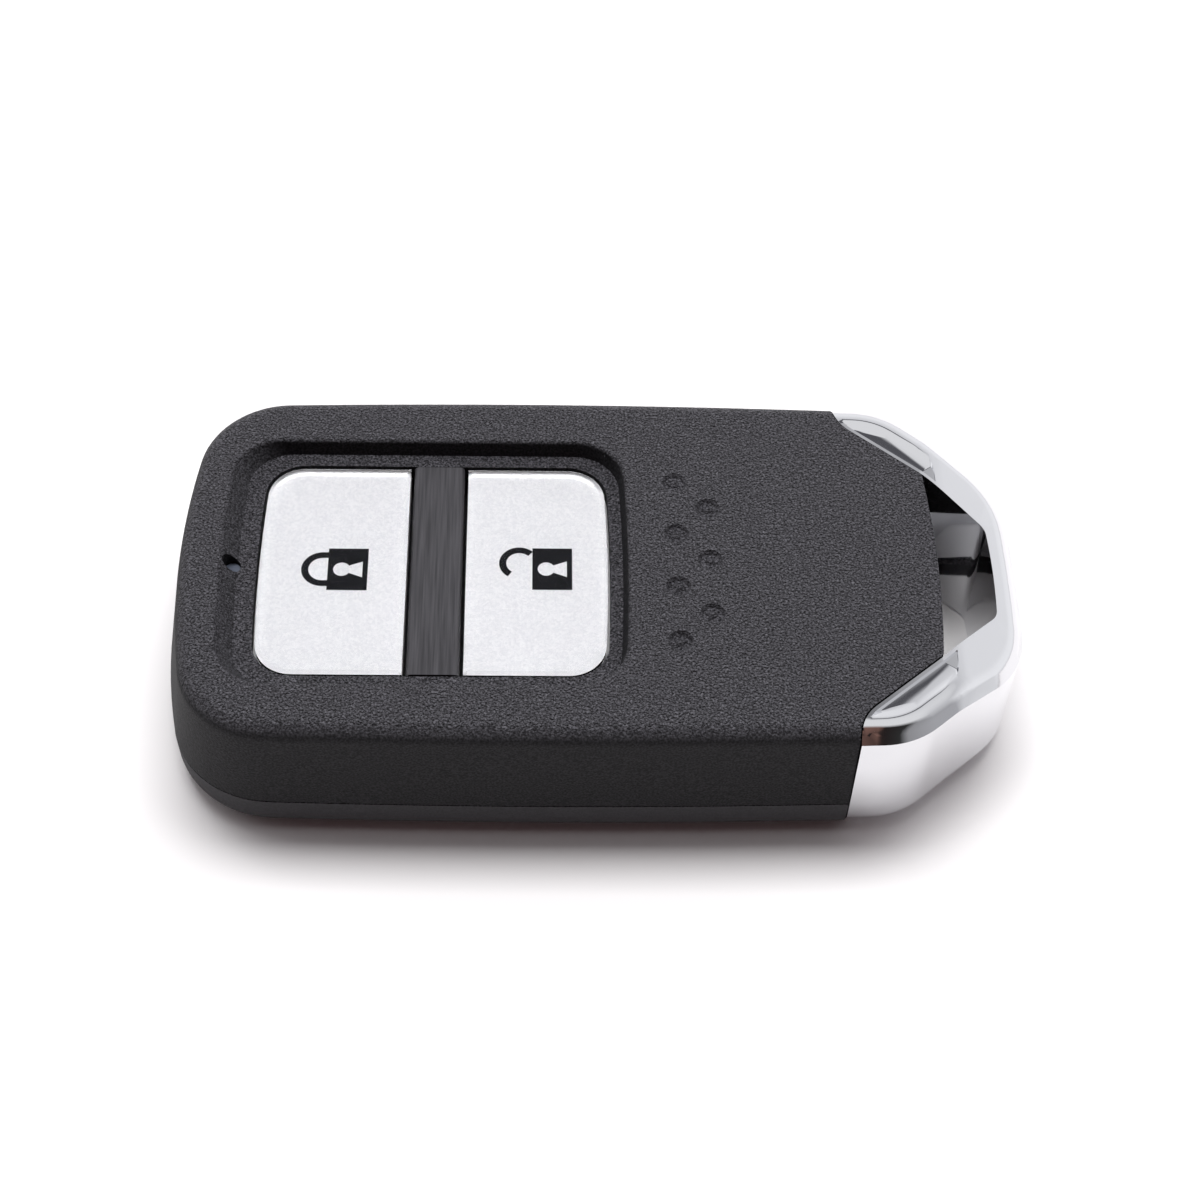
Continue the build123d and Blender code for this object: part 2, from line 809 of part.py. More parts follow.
def make_button_base(side):
    """Silver carrier under the clear cap, with a flange that stops it at the window."""
    base = raised(button_plan(side, 0, flange_bottom), lens_bottom - flange_bottom)
    base += raised(button_plan(side, flange_reach + button_gap, flange_bottom), flange_top - flange_bottom)
    left, right = button_x(side)
    hollow_x = left + button_skirt, right - button_skirt
    half = window_half - button_gap - button_skirt
    hollow = block(hollow_x, (-half, half), (flange_bottom, lens_bottom - button_web))
    centre = lock_centre if side == "lock" else unlock_centre
    hollow -= rod(centre, 0, (flange_bottom, lens_bottom), button_pad_radius)
    return base - hollow


def make_dome(side):
    """Rubber dome of the keypad that carries one button and presses its switch."""
    centre = lock_centre if side == "lock" else unlock_centre
    dome = rod(centre, 0, (dome_bottom, dome_shoulder), dome_radius)
    dome += rod(centre, 0, (dome_shoulder, flange_bottom), dome_top_radius)
    return dome + rod(centre, 0, (nub_bottom, dome_bottom), nub_radius)


def make_keypad_mat():
    """Rubber boot over the switches: a roof with two round holes, and a wall that stands on the board."""
    outer = bowed_panel((mat_left, mat_right), mat_half, 0, mat_corner_radius, board_top)
    mat = raised(outer, mat_roof_top - board_top)
    inner_x = mat_left + mat_wall, mat_right - mat_wall
    inner = bowed_panel(inner_x, mat_half - mat_wall, 0, mat_corner_radius - mat_wall, board_top)
    mat -= raised(inner, mat_roof_bottom - board_top)
    for x in (lock_centre, unlock_centre):
        mat -= rod(x, 0, (board_top, mat_roof_top), mat_hole_radius)
    return mat


def make_centre_bar():
    """Satin bar between the buttons, held by a tab under the roof at each end."""
    half = window_half - button_gap / 2
    bar = block((bar_left, bar_right), (-half, half), (bar_bottom, bar_top))
    long_edges = bar.edges().filter_by(Axis.Y).sort_by(Axis.Z)[-2:]
    bar = fillet(long_edges, bar_crown_radius)
    tab_half = window_half + bar_tab_reach
    return bar + block((bar_left, bar_right), (-tab_half, tab_half), (bar_bottom, ceiling_height))


def make_circuit_board():
    """Glass fibre board with four holes for the posts."""
    board = raised(upper_cavity_face(board_gap, board_bottom), board_thickness)
    board -= block((board_right, tip_x), (-wide, wide), (0, height))
    for x in (post_left_x, post_right_x):
        for y in (-post_half, post_half):
            board -= rod(x, y, (board_bottom, board_top), post_hole_radius)
    return board


def make_board_tray():
    """Black tray under the board, with the collar that holds the coin cell."""
    tray = raised(upper_cavity_face(tray_inset, tray_bottom), tray_thickness)
    ledge = raised(upper_cavity_face(tray_inset, tray_bottom), board_bottom - tray_bottom)
    tray += ledge - raised(upper_cavity_face(tray_inset + tray_ledge, tray_bottom), height)
    tray -= block((cavity_end_x - tray_ledge, tip_x), (-wide, wide), (0, height))
    hole = cell_radius + cell_gap
    tray += rod(cell_x, 0, (collar_bottom, tray_bottom), hole + collar_wall)
    tray -= rod(cell_x, 0, (collar_bottom, board_bottom), hole)
    slot_half = positive_width / 2 + positive_slot_gap
    slot_x = cell_x - hole - positive_reach - positive_slot_gap, cell_x - cell_radius / 2
    return tray - block(slot_x, (-slot_half, slot_half), (0, board_bottom))


def make_coin_cell():
    """Coin cell: can below, and the smaller cap with its rim on top."""
    can = rod(cell_x, 0, (cell_bottom, cell_top - cell_rim_height), cell_radius)
    can = fillet(can.faces().sort_by(Axis.Z)[0].edges(), cell_rim_height / 2)
    return can + rod(cell_x, 0, (cell_top - cell_rim_height, cell_top), cell_radius - cell_rim_step)


def make_positive_clip():
    """Spring strip that touches the side of the can and is soldered under the board."""
    face_x = cell_x - cell_radius - cell_gap / 3
    strip_y = -positive_width / 2, positive_width / 2
    strip = block((face_x - contact_thickness, face_x), strip_y, (positive_bottom, board_bottom))
    foot = block((face_x - positive_reach, face_x), strip_y, (board_bottom - contact_thickness, board_bottom))
    return strip + foot


def make_negative_contact():
    """Sprung leaf that presses on the top of the cell from under the board."""
    low = cell_top
    high = board_bottom
    pad_end = cell_x + negative_pad
    tip = pad_end - negative_length
    profile = [
        (pad_end, high),
        (pad_end - negative_pad, high),
        (tip + negative_pad / 2, low + contact_thickness),
        (tip, low + contact_thickness),
        (tip, low),
        (tip + negative_pad / 2, low),
        (pad_end - negative_pad, high - contact_thickness),
        (pad_end, high - contact_thickness),
    ]
    face = Plane.XZ * make_face(Polyline(*profile, close=True))
    return Pos(0, negative_width / 2, 0) * extrude(face, amount=negative_width)


def make_switch(centre):
    """Tact switch body with the well its plunger slides in."""
    half = switch_size / 2
    body = block((centre - half, centre + half), (-half, half), (board_top, board_top + switch_height))
    body = chamfer(body.edges().filter_by(Axis.Z), switch_edge)
    well_bottom = plunger_top - plunger_well
    return body - rod(centre, 0, (well_bottom, height), plunger_radius + plunger_fit)


def make_plunger(centre):
    """Moving plunger of a switch."""
    plunger = rod(centre, 0, (plunger_top - plunger_length, plunger_top), plunger_radius)
    return chamfer(plunger.faces().sort_by(Axis.Z)[-1].edges(), switch_edge / 2)


def chip(x, y, size_x, size_y, thickness):
    """Flat package on the board."""
    x_range = x - size_x / 2, x + size_x / 2
    y_range = y - size_y / 2, y + size_y / 2
    return block(x_range, y_range, (board_top, board_top + thickness))


def make_coil_core():
    """Ferrite bobbin of the receiving coil: two flanges on a round core."""
    half = coil_size / 2
    corners = [(coil_x - half, coil_y - half), (coil_x + half, coil_y - half)]
    corners += [(coil_x + half, coil_y + half), (coil_x - half, coil_y + half)]
    flange = bowed_face(corners, [0] * len(corners), [coil_corner_radius] * len(corners), board_top)
    core = raised(flange, coil_flange)
    core += Pos(0, 0, coil_height - coil_flange) * raised(flange, coil_flange)
    return core + rod(coil_x, coil_y, (board_top, board_top + coil_height), coil_core_radius)


def make_coil_winding():
    """Copper winding between the flanges of the bobbin."""
    z_range = board_top + coil_flange, board_top + coil_height - coil_flange
    return rod(coil_x, coil_y, z_range, winding_radius) - rod(coil_x, coil_y, z_range, coil_core_radius)


def make_capacitors():
    """Row of small chip capacitors."""
    row = []
    for index in range(capacitor_count):
        y = capacitor_y + index * capacitor_step
        row.append(chip(capacitor_x, y, capacitor_width, capacitor_length, capacitor_height))
    return Compound(children=row)


def make_indicator_lens():
    """Clear light pipe from the lamp on the board to the hole in the recess."""
    bottom = board_top + indicator_led_height + indicator_lens_gap
    pipe = rod(indicator_x, 0, (bottom, indicator_lens_top), indicator_lens_radius)
    flange_z = ceiling_height - indicator_flange_height, ceiling_height
    return pipe + rod(indicator_x, 0, flange_z, indicator_flange_radius)


def make_all():
    """Every sub-part under its node name."""
    return {
        "upper_case": make_upper_case(),
        "lower_case": make_lower_case(),
        "centre_bar": make_centre_bar(),
        "lock_button_lens": make_button_lens("lock"),
        "lock_button_base": make_button_base("lock"),
        "lock_keypad_dome": make_dome("lock"),
        "unlock_button_lens": make_button_lens("unlock"),
        "unlock_button_base": make_button_base("unlock"),
        "unlock_keypad_dome": make_dome("unlock"),
        "keypad_mat": make_keypad_mat(),
        "lock_switch": make_switch(lock_centre),
        "lock_plunger": make_plunger(lock_centre),
        "unlock_switch": make_switch(unlock_centre),
        "unlock_plunger": make_plunger(unlock_centre),
        "circuit_board": make_circuit_board(),
        "board_tray": make_board_tray(),
        "coin_cell": make_coin_cell(),
        "battery_positive_clip": make_positive_clip(),
        "battery_negative_contact": make_negative_contact(),
        "radio_chip": chip(radio_chip_x, radio_chip_y, radio_chip_size, radio_chip_size, radio_chip_height),
        "control_chip": chip(control_chip_x, control_chip_y, control_chip_size, control_chip_size, control_chip_height),
        "crystal_can": chip(crystal_x, crystal_y, crystal_length, crystal_width, crystal_height),
        "receiver_coil_core": make_coil_core(),
        "receiver_coil_winding": make_coil_winding(),
        "chip_capacitors": make_capacitors(),
        "power_inductor": chip(inductor_x, inductor_y, inductor_size, inductor_size, inductor_height),
        "indicator_lamp": chip(indicator_x, 0, indicator_led_size, indicator_led_size, indicator_led_height),
        "indicator_lens": make_indicator_lens(),
        "key_loop": make_key_loop(),
        "key_blade": make_key_blade(),
        "blade_pins": make_blade_pins(),
        "release_knob": make_release_knob(),
        "release_spring": make_release_spring(),
    }


os.makedirs("parts", exist_ok=True)
for name, shape in make_all().items():
    export_step(shape, "parts/" + name + ".step")
    print(name, round(shape.volume, 2))
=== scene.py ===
import math

import bmesh
import bpy
from mathutils import Matrix, Vector


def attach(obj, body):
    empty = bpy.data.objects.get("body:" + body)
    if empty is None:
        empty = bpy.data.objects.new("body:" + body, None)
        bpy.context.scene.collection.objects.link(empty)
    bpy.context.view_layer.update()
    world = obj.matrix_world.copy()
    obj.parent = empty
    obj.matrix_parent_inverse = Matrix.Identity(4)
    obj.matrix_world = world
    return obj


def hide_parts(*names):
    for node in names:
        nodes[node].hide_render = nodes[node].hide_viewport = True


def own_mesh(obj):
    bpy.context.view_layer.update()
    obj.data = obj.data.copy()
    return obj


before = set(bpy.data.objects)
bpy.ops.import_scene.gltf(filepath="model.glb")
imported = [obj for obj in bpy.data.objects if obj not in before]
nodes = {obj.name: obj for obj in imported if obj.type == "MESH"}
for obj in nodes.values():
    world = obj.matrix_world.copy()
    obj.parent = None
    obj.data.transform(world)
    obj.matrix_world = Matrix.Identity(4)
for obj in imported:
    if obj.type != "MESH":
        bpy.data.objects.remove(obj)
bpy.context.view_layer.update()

# Camera
# A still camera on a tripod in front of the table, looking down on the fob
# from a little left of its middle.
MM = 0.001
scene = bpy.context.scene
focal_px = 2361.56
frame_px = 1200
sensor_mm = 36
azimuth = math.radians(-2.842)
elevation = math.radians(52.596)
roll = math.radians(2.696)
target = Vector((0.842, 1.563, 7.0)) * MM
distance = 222.434 * MM
nearest = 10 * MM
farthest = 10

back = Vector((
    math.sin(azimuth) * math.cos(elevation),
    -math.cos(azimuth) * math.cos(elevation),
    math.sin(elevation),
))
level = Vector((math.cos(azimuth), math.sin(azimuth), 0))
upright = back.cross(level)
right = level * math.cos(roll) + upright * math.sin(roll)
up = upright * math.cos(roll) - level * math.sin(roll)
camera_data = bpy.data.cameras.new("camera")
camera_data.sensor_width = sensor_mm
camera_data.lens = focal_px * sensor_mm / frame_px
camera_data.clip_start = nearest
camera_data.clip_end = farthest
camera = bpy.data.objects.new("camera", camera_data)
turn = Matrix((right, up, back)).transposed().to_4x4()
camera.matrix_world = Matrix.Translation(target + back * distance) @ turn
scene.collection.objects.link(camera)
scene.camera = camera
scene.view_settings.view_transform = "Standard"

# Table
# A white card lies on the table, a hair below the fob so that the two faces
# don't meet. It looks a little brighter than it lights its surroundings.
floor_half = 3
floor_gap = 0.02 * MM
card_white = (0.93, 0.915, 0.92, 1)
lift_white = (1, 0.985, 0.99, 1)
lift = 0.01


def new_material(name):
    """Material with its output and no shader yet."""
    material = bpy.data.materials.new(name)
    material.use_nodes = True
    tree = material.node_tree
    tree.nodes.clear()
    output = tree.nodes.new("ShaderNodeOutputMaterial")
    return material, tree, output


def node(tree, kind, settings=None, **inputs):
    """Shader node with its settings and its inputs, by socket name or by i and a number."""
    made = tree.nodes.new("ShaderNode" + kind)
    for key, value in (settings or {}).items():
        setattr(made, key, value)
    for key, value in inputs.items():
        name = key.replace("_", " ")
        socket = made.inputs[name] if name in made.inputs else made.inputs[int(key[1:])]
        if isinstance(value, bpy.types.NodeSocket):
            tree.links.new(value, socket)
        else:
            socket.default_value = value
    return made


def math_node(tree, operation, *values):
    """Math node on the values or sockets given."""
    inputs = {"i%d" % index: value for index, value in enumerate(values)}
    return node(tree, "Math", {"operation": operation}, **inputs)


floor_mesh = bpy.data.meshes.new("floor")
floor_form = bmesh.new()
bmesh.ops.create_grid(floor_form, x_segments=1, y_segments=1, size=floor_half)
bmesh.ops.translate(floor_form, verts=floor_form.verts, vec=(0, 0, -floor_gap))
floor_form.to_mesh(floor_mesh)
floor_form.free()
floor = bpy.data.objects.new("floor", floor_mesh)
scene.collection.objects.link(floor)
material, tree, output = new_material("white_card")
path = node(tree, "LightPath")
direct = math_node(tree, "MAXIMUM", path.outputs["Is Camera Ray"], path.outputs["Is Glossy Ray"])
seen = math_node(tree, "MAXIMUM", direct.outputs[0], path.outputs["Is Transmission Ray"])
card = node(tree, "BsdfDiffuse", Color=card_white)
glow = node(tree, "Emission", Color=lift_white, Strength=lift)
both = node(tree, "AddShader", i0=card.outputs[0], i1=glow.outputs[0])
mixed = node(tree, "MixShader", i0=seen.outputs[0], i1=card.outputs[0], i2=both.outputs[0])
tree.links.new(mixed.outputs[0], output.inputs[0])
floor_mesh.materials.append(material)

# Room
# Pale walls at the back and the sides, with a dark opening high up at the back,
# and a dark room with shelves behind the camera. The chrome and the clear caps
# pick these up, and the camera itself sees plain white.
room_power = 1.08
camera_white = (1, 1, 1, 1)
opening_grey = (0.09, 0.09, 0.1, 1)
front_glow = (0.035, 0.01, 0.011, 1)


def colour_ramp(tree, factor, *stops):
    """Colour ramp through stops of a position and a colour, in rising order."""
    made = node(tree, "ValToRGB", Fac=factor)
    elements = made.color_ramp.elements
    for element, (position, colour) in zip(elements, (stops[0], stops[-1])):
        element.position = position
        element.color = (*colour, 1)
    for position, colour in stops[1:-1]:
        elements.new(position).color = (*colour, 1)
    return made


def share_between(tree, value, none, full):
    """Share that runs from 0 to 1 while a value runs from none to full."""
    return node(tree, "MapRange", Value=value, From_Min=none, From_Max=full, To_Min=0.0, To_Max=1.0)


world = bpy.data.worlds.new("studio")
scene.world = world
world.use_nodes = True
tree = world.node_tree
tree.nodes.clear()
output = tree.nodes.new("ShaderNodeOutputWorld")
aim = node(tree, "TexCoord")
parts = node(tree, "SeparateXYZ", Vector=aim.outputs["Generated"])
sky = colour_ramp(
    tree, parts.outputs["Z"],
    (0, (0.82, 0.82, 0.84)),
    (0.15, (0.95, 0.95, 0.97)),
    (0.4, (0.92, 0.92, 0.94)),
    (0.6, (0.8, 0.8, 0.82)),
    (0.75, (0.62, 0.62, 0.64)),
    (0.9, (0.8, 0.8, 0.81)),
    (1, (0.8, 0.8, 0.81)),
)
high_up = colour_ramp(
    tree, parts.outputs["Z"],
    (0.735, (0, 0, 0)), (0.76, (1, 1, 1)), (0.83, (1, 1, 1)), (0.855, (0, 0, 0)),
)
aside = math_node(tree, "ABSOLUTE", parts.outputs["X"])
narrow = share_between(tree, aside.outputs[0], 0.2, 0.13)
opening = math_node(tree, "MULTIPLY", high_up.outputs[0], narrow.outputs[0])
walls = node(tree, "MixRGB", Fac=opening.outputs[0], Color1=sky.outputs[0], Color2=opening_grey)
across = share_between(tree, parts.outputs["X"], -1.0, 1.0)
shelves = colour_ramp(
    tree, across.outputs[0],
    (0, (0.2, 0.2, 0.21)),
    (0.4, (0.05, 0.045, 0.045)),
    (0.52, (0.16, 0.09, 0.075)),
    (0.585, (0.2, 0.11, 0.09)),
    (0.6, (0.02, 0.015, 0.015)),
    (0.72, (0.03, 0.03, 0.03)),
    (0.78, (0.3, 0.3, 0.31)),
    (1, (0.45, 0.45, 0.47)),
)
path = node(tree, "LightPath")
dim = node(tree, "MixRGB", Fac=path.outputs["Is Diffuse Ray"], Color1=shelves.outputs[0], Color2=front_glow)
front = share_between(tree, parts.outputs["Y"], 0.0, -0.2)
raised = share_between(tree, parts.outputs["Z"], 0.0, 0.05)
dark = math_node(tree, "MULTIPLY", front.outputs[0], raised.outputs[0])
room = node(tree, "MixRGB", Fac=dark.outputs[0], Color1=walls.outputs[0], Color2=dim.outputs[0])
eye = node(tree, "MixRGB", Fac=path.outputs["Is Camera Ray"], Color1=room.outputs[0], Color2=camera_white)
light = node(tree, "Background", Color=eye.outputs[0], Strength=room_power)
tree.links.new(light.outputs[0], output.inputs[0])

# Lamp
# One large soft box over the table, a little behind the fob, turned to it. The
# chrome shows the walls and not the lamp.
lamp_data = bpy.data.lights.new("top_box", "AREA")
lamp_data.shape = "RECTANGLE"
lamp_data.size = 0.8
lamp_data.size_y = 0.4
lamp_data.energy = 12.6
lamp = bpy.data.objects.new("top_box", lamp_data)
lamp.location = (0.0, 0.3, 1.13)
lamp.rotation_euler = (-lamp.location).to_track_quat("-Z", "Y").to_euler()
lamp.visible_glossy = False
scene.collection.objects.link(lamp)

# Case halves
# Two moulded halves in black plastic. The top has a fine pebble grain that
# fades on the side walls, which are painted darker as shade, and the halves meet at a thin dark line.
merge_gap = 0.0005 * MM


def smooth_copy(source, name, body, material, sharp=35):
    """Piece with the form of a CAD node, merged and shaded smooth between its sharp edges."""
    form = bmesh.new()
    form.from_mesh(nodes[source].data)
    bmesh.ops.remove_doubles(form, verts=form.verts, dist=merge_gap)
    for face in form.faces:
        face.smooth = True
    limit = math.radians(sharp)
    for edge in form.edges:
        edge.smooth = edge.is_manifold and edge.calc_face_angle(0) < limit
    mesh = bpy.data.meshes.new(name)
    form.to_mesh(mesh)
    form.free()
    mesh.materials.clear()
    mesh.materials.append(material)
    piece = bpy.data.objects.new(name, mesh)
    scene.collection.objects.link(piece)
    flats = piece.modifiers.new("flats", "WEIGHTED_NORMAL")
    flats.keep_sharp = True
    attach(piece, body)
    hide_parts(source)
    return piece


def surface(tree, output, **inputs):
    """Principled shader with its inputs, on a material's output."""
    shader = node(tree, "BsdfPrincipled", **inputs)
    tree.links.new(shader.outputs[0], output.inputs[0])


def tinted(colour, share):
    """Colour with each channel at a share of its value."""
    return [channel * share for channel in colour]


def grained_plastic(name, colour, grain_mm, bump_mm, roughness, gloss, wall_shade_share):
    """Black moulded plastic with a pebble grain, smoother on the side walls and darkened there as painted
    shade.
    """
    grain = grain_mm * MM
    drift_reach = 0.25 * MM
    pit_depth = -1.4
    wall_depth = 0.15
    wall_dulling = 0.25
    pit_tint, crest_tint = 0.4, 1.95
    material, tree, output = new_material(name)
    place = node(tree, "TexCoord")
    facing = node(tree, "SeparateXYZ", Vector=place.outputs["Normal"])
    flat = colour_ramp(
        tree, facing.outputs["Z"],
        (0.45, (0, 0, 0)), (0.75, (0.45,) * 3), (0.9, (0.52,) * 3), (0.985, (1, 1, 1)),
    )
    drift = node(tree, "TexNoise", Vector=place.outputs["Object"], Scale=0.7 / grain, Detail=1.0)
    warp = node(
        tree, "VectorMath", {"operation": "MULTIPLY_ADD"},
        i0=drift.outputs["Color"], i1=(drift_reach,) * 3, i2=place.outputs["Object"],
    )
    pebble = node(
        tree, "TexVoronoi", {"feature": "SMOOTH_F1"},
        Vector=warp.outputs[0], Scale=1 / grain, Smoothness=0.6,
    )
    high = math_node(tree, "MULTIPLY_ADD", pebble.outputs["Distance"], pit_depth, drift.outputs["Fac"])
    depth = node(tree, "MapRange", Value=flat.outputs[0], To_Min=wall_depth, To_Max=1.0)
    bump = node(tree, "Bump", Strength=depth.outputs[0], Distance=bump_mm * MM, Height=high.outputs[0])
    speck = node(tree, "TexNoise", Vector=place.outputs["Object"], Scale=0.9 / grain, Detail=2.0)
    tone = colour_ramp(
        tree, speck.outputs["Fac"],
        (0.38, tinted(colour, pit_tint)), (0.66, tinted(colour, crest_tint)),
    )
    # Faces turned away from up take a darker colour, a share of the top's colour, as painted shade.
    painted_wall_shade = (*tinted(colour, wall_shade_share), 1)
    tone_and_wall_shade = node(tree, "MixRGB", Fac=depth.outputs[0], Color1=painted_wall_shade, Color2=tone.outputs[0])
    haze = node(tree, "MapRange", Value=flat.outputs[0], To_Min=roughness + wall_dulling, To_Max=roughness)
    surface(
        tree, output, Base_Color=tone_and_wall_shade.outputs[0], Roughness=haze.outputs[0],
        Normal=bump.outputs[0], Specular_IOR_Level=gloss,
    )
    return material


# As painted shade, the side walls take 6 % of the top's colour on the upper half and 75 % on the lower
# half.
top_black = grained_plastic(
    "top_black", colour=(0.073, 0.0712, 0.08), grain_mm=0.18, bump_mm=0.34,
    roughness=0.42, gloss=0.18, wall_shade_share=0.06,
)
back_black = grained_plastic(
    "back_black", colour=(0.056, 0.054, 0.059), grain_mm=0.2, bump_mm=0.05,
    roughness=0.5, gloss=0.28, wall_shade_share=0.75,
)
smooth_copy("upper_case", "upper_shell", "upper", top_black)
smooth_copy("lower_case", "lower_shell", "lower", back_black)

# Centre bar
# Satin black moulding between the buttons, with faint streaks along it. The
# streaks show in its colour, its gloss and its height alike.
material, tree, output = new_material("satin_black")
place = node(tree, "TexCoord")
stretch = node(tree, "Mapping", Vector=place.outputs["Object"], Scale=(4500, 140, 4500))
streak = node(tree, "TexNoise", Vector=stretch.outputs[0], Scale=1.0, Detail=3.0)
gloss = node(
    tree, "MapRange", Value=streak.outputs["Fac"],
    From_Min=0.3, From_Max=0.7, To_Min=0.3, To_Max=0.5,
)
bump = node(tree, "Bump", Strength=0.8, Distance=0.03 * MM, Height=streak.outputs["Fac"])
tone = colour_ramp(
    tree, streak.outputs["Fac"],
    (0.35, (0.036, 0.035, 0.039)), (0.7, (0.068, 0.066, 0.073)),
)
surface(
    tree, output, Base_Color=tone.outputs[0], Roughness=gloss.outputs[0],
    Normal=bump.outputs[0], Specular_IOR_Level=0.35,
)
smooth_copy("centre_bar", "divider_bar", "upper", material)

# Buttons
# Each button is a pearl silver carrier with its symbol printed on top, under a
# clear moulded cap. The underside of the cap is raised to clear the print.
cap_lift = 0.06 * MM
underside = 0.01 * MM

pearl, tree, output = new_material("pearl_silver")
place = node(tree, "TexCoord")
flake = node(tree, "TexVoronoi", {"feature": "F1"}, Vector=place.outputs["Object"], Scale=5200)
shade = node(tree, "SeparateColor", Color=flake.outputs["Color"])
glint = colour_ramp(tree, shade.outputs[0], (0, (0.87, 0.875, 0.89)), (1, (0.99, 0.99, 0.995)))
surface(tree, output, Base_Color=glint.outputs[0], Roughness=0.4, Metallic=0.05)

clear, tree, output = new_material("clear_cap")
place = node(tree, "TexCoord")
wave = node(tree, "TexNoise", Vector=place.outputs["Object"], Scale=400, Detail=1.0)
haze = node(tree, "MapRange", Value=wave.outputs["Fac"], To_Min=0.02, To_Max=0.05)
surface(
    tree, output, Base_Color=(0.98, 0.98, 0.99, 1), Roughness=haze.outputs[0],
    IOR=1.49, Specular_IOR_Level=0.1, Transmission_Weight=1,
)

for side in ("lock", "unlock"):
    smooth_copy(side + "_button_base", side + "_carrier", side + "_button", pearl)
    cap = smooth_copy(side + "_button_lens", side + "_cap", side + "_button", clear)
    low = min(vertex.co.z for vertex in cap.data.vertices)
    for vertex in cap.data.vertices:
        if vertex.co.z < low + underside:
            vertex.co.z = low + cap_lift

# Printed symbols
# A padlock in black ink on each carrier: closed on the lock button, with its
# shackle swung open on the other. Both lie across the fob. Sizes are in mm.
print_thickness = 0.02
body_length = 3.65
body_half = 2.4
stroke = 0.65
keyhole_from_left = 1.27
keyhole_radius = 0.78
keyhole_neck = 33
flare_from_left = 3.17
flare_half = 0.92

ink, tree, output = new_material("black_ink")
place = node(tree, "TexCoord")
speck = node(tree, "TexNoise", Vector=place.outputs["Object"], Scale=5000, Detail=2.0)
tone = colour_ramp(tree, speck.outputs["Fac"], (0, (0.006, 0.006, 0.007)), (1, (0.018, 0.018, 0.02)))
surface(tree, output, Base_Color=tone.outputs[0], Roughness=0.6, Specular_IOR_Level=0)


def arc(centre, radius, start, end, count=28):
    """Points along part of a circle, angles in degrees."""
    turns = [math.radians(start + (end - start) * index / count) for index in range(count + 1)]
    return [(centre[0] + radius * math.cos(turn), centre[1] + radius * math.sin(turn)) for turn in turns]


def band(centre, radius, start, end):
    """Outline of a stroke that follows part of a circle."""
    return arc(centre, radius, start, end) + arc(centre, radius - stroke, end, start)


def lock_body(left, middle):
    """Square body of a padlock and, as its hole, the keyhole."""
    end = left + body_length
    low, high = middle - body_half, middle + body_half
    square = [(left, low), (end, low), (end, high), (left, high)]
    eye = (left + keyhole_from_left, middle)
    flare = left + flare_from_left
    keyhole = arc(eye, keyhole_radius, keyhole_neck, 360 - keyhole_neck)
    keyhole += [(flare, middle - flare_half), (flare, middle + flare_half)]
    return [square, keyhole]


def printed_symbol(name, shapes, top, body):
    """Thin print of filled outlines. A second outline in a shape is its hole."""
    form = bmesh.new()
    for shape in shapes:
        curve = bpy.data.curves.new(name, "CURVE")
        curve.dimensions = "2D"
        curve.fill_mode = "BOTH"
        curve.extrude = print_thickness / 2
        for outline in shape:
            line = curve.splines.new("POLY")
            line.points.add(len(outline) - 1)
            line.use_cyclic_u = True
            for point, (x, y) in zip(line.points, outline):
                point.co = (x, y, 0, 1)
        drawn = bpy.data.objects.new(name, curve)
        form.from_mesh(bpy.data.meshes.new_from_object(drawn))
        bpy.data.objects.remove(drawn)
    bmesh.ops.scale(form, verts=form.verts, vec=(MM, MM, MM))
    bmesh.ops.translate(form, verts=form.verts, vec=(0, 0, top))
    bmesh.ops.recalc_face_normals(form, faces=form.faces)
    mesh = bpy.data.meshes.new(name)
    form.to_mesh(mesh)
    form.free()
    mesh.materials.append(ink)
    piece = bpy.data.objects.new(name, mesh)
    scene.collection.objects.link(piece)
    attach(piece, body)
    return piece


def print_level(carrier):
    """Height of the middle of a print that lies clear of a carrier's top."""
    top = max(vertex.co.z for vertex in nodes[carrier].data.vertices)
    return top + print_thickness * MM


lock_left, lock_middle = -24.25, 0.09
shackle_x = lock_left - 0.47
shackle_radius = 1.95
leg_end = lock_left + 0.05
bow = band((shackle_x, lock_middle), shackle_radius, 90, 270)
legs = []
for side in (-1, 1):
    inner = side * (shackle_radius - stroke) + lock_middle
    outer = side * shackle_radius + lock_middle
    legs.append([[(shackle_x, inner), (shackle_x, outer), (leg_end, outer), (leg_end, inner)]])
printed_symbol(
    "locked_print", [lock_body(lock_left, lock_middle), [bow], *legs],
    print_level("lock_button_base"), "lock_button",
)
unlock_left, unlock_middle = -5.56, 0.3
swung = band((unlock_left - 1.21, unlock_middle + 0.65), 1.84, 47, 236)
printed_symbol(
    "unlocked_print", [lock_body(unlock_left, unlock_middle), [swung]],
    print_level("unlock_button_base"), "unlock_button",
)

# Key loop
# Die-cast loop, polished and chrome plated, in one piece with the crossbar and
# the stem of the spare key.
material, tree, output = new_material("bright_chrome")
place = node(tree, "TexCoord")
ripple = node(tree, "TexNoise", Vector=place.outputs["Object"], Scale=220, Detail=1.5)
bump = node(tree, "Bump", Strength=0.08, Distance=0.15 * MM, Height=ripple.outputs["Fac"])
haze = node(
    tree, "MapRange", Value=ripple.outputs["Fac"],
    From_Min=0.3, From_Max=0.7, To_Min=0.04, To_Max=0.08,
)
surface(
    tree, output, Base_Color=(0.76, 0.765, 0.785, 1), Roughness=haze.outputs[0],
    Normal=bump.outputs[0], Metallic=1,
)
smooth_copy("key_loop", "chrome_loop", "emergency_key", material)

# Spare key blade
# Steel strip with a track milled in both faces, held in the stem by two pins.
# Its faces keep the fine lines of the grinding along it.


